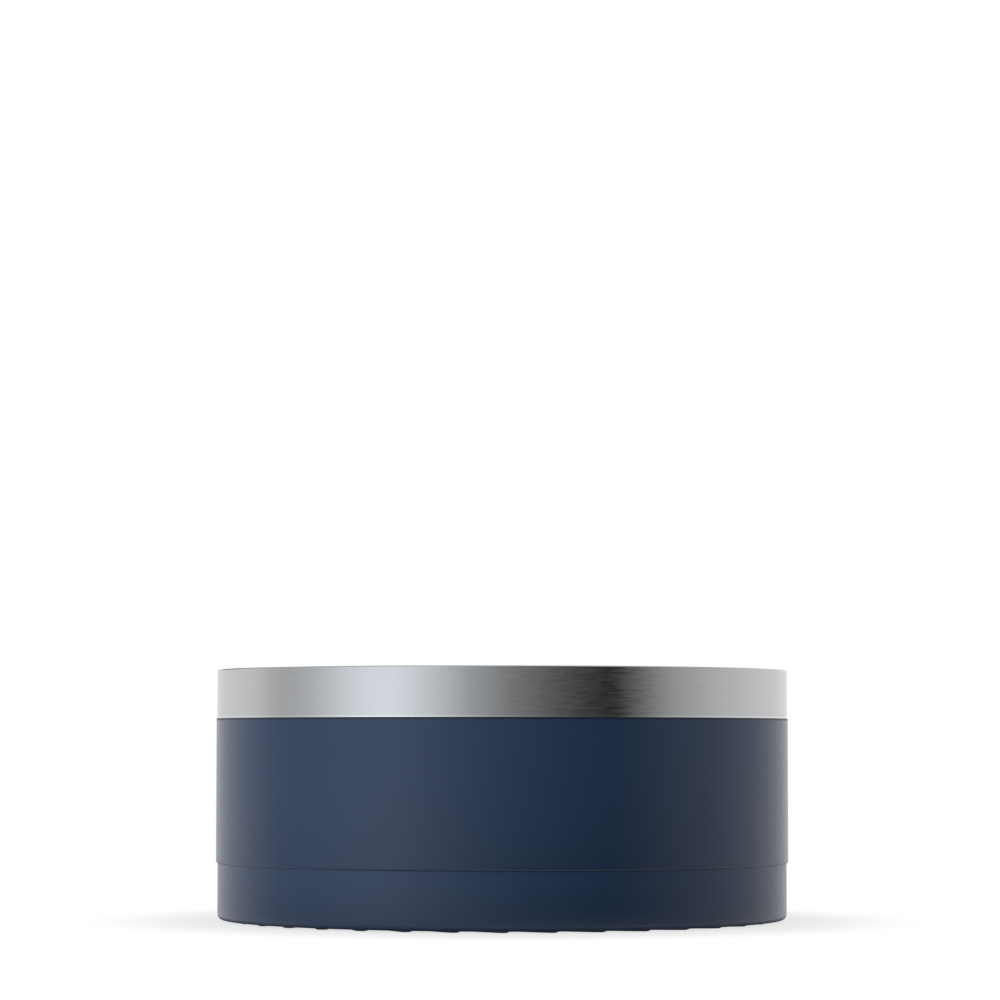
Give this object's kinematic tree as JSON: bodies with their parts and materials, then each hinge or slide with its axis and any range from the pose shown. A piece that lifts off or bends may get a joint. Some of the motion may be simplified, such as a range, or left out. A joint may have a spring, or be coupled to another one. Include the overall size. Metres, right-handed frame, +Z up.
{
  "type": "dog bowl",
  "caption": "Round double-walled steel dog bowl with a bare brushed rim band, a navy coated wall and a pull-off navy silicone boot with slanted tread lugs.",
  "frame": {"origin": "on the bowl's axis, at the floor that the tread lugs stand on", "axes": "+Z up along the bowl's axis, -Y towards the picture's viewer"},
  "size_m": [0.21, 0.21, 0.0916],
  "materials": {
    "brushed_inner_steel": "drawn stainless steel, brushed in rings around the bowl",
    "brushed_band_steel": "drawn stainless steel, fine hair lines running around the band",
    "navy_powder_coat": "satin navy polyester powder coat on steel",
    "plain_base_steel": "pressed stainless steel, plain mill finish",
    "sealing_glass": "opaque brown sealing glass, melted",
    "cover_disc_steel": "stamped stainless steel disc, bonded",
    "getter_alloy": "pressed grey metal powder",
    "clip_spring_steel": "folded spring steel strip",
    "navy_silicone": "matt moulded silicone, navy"
  },
  "bodies": {
    "boot": {"non_slip_boot": "navy_silicone"},
    "bowl": {"inner_bowl": "brushed_inner_steel", "outer_shell": "brushed_band_steel", "powder_coat": "navy_powder_coat", "base_pan": "plain_base_steel", "vacuum_seal": "sealing_glass", "seal_cover": "cover_disc_steel", "getter_pill": "getter_alloy", "getter_clip": "clip_spring_steel"}
  },
  "joints": [
    {"name": "bowl_lift", "type": "slide", "parent": "boot", "child": "bowl", "axis": [0, 0, 1], "range_m": [0, 0.03]}
  ]
}
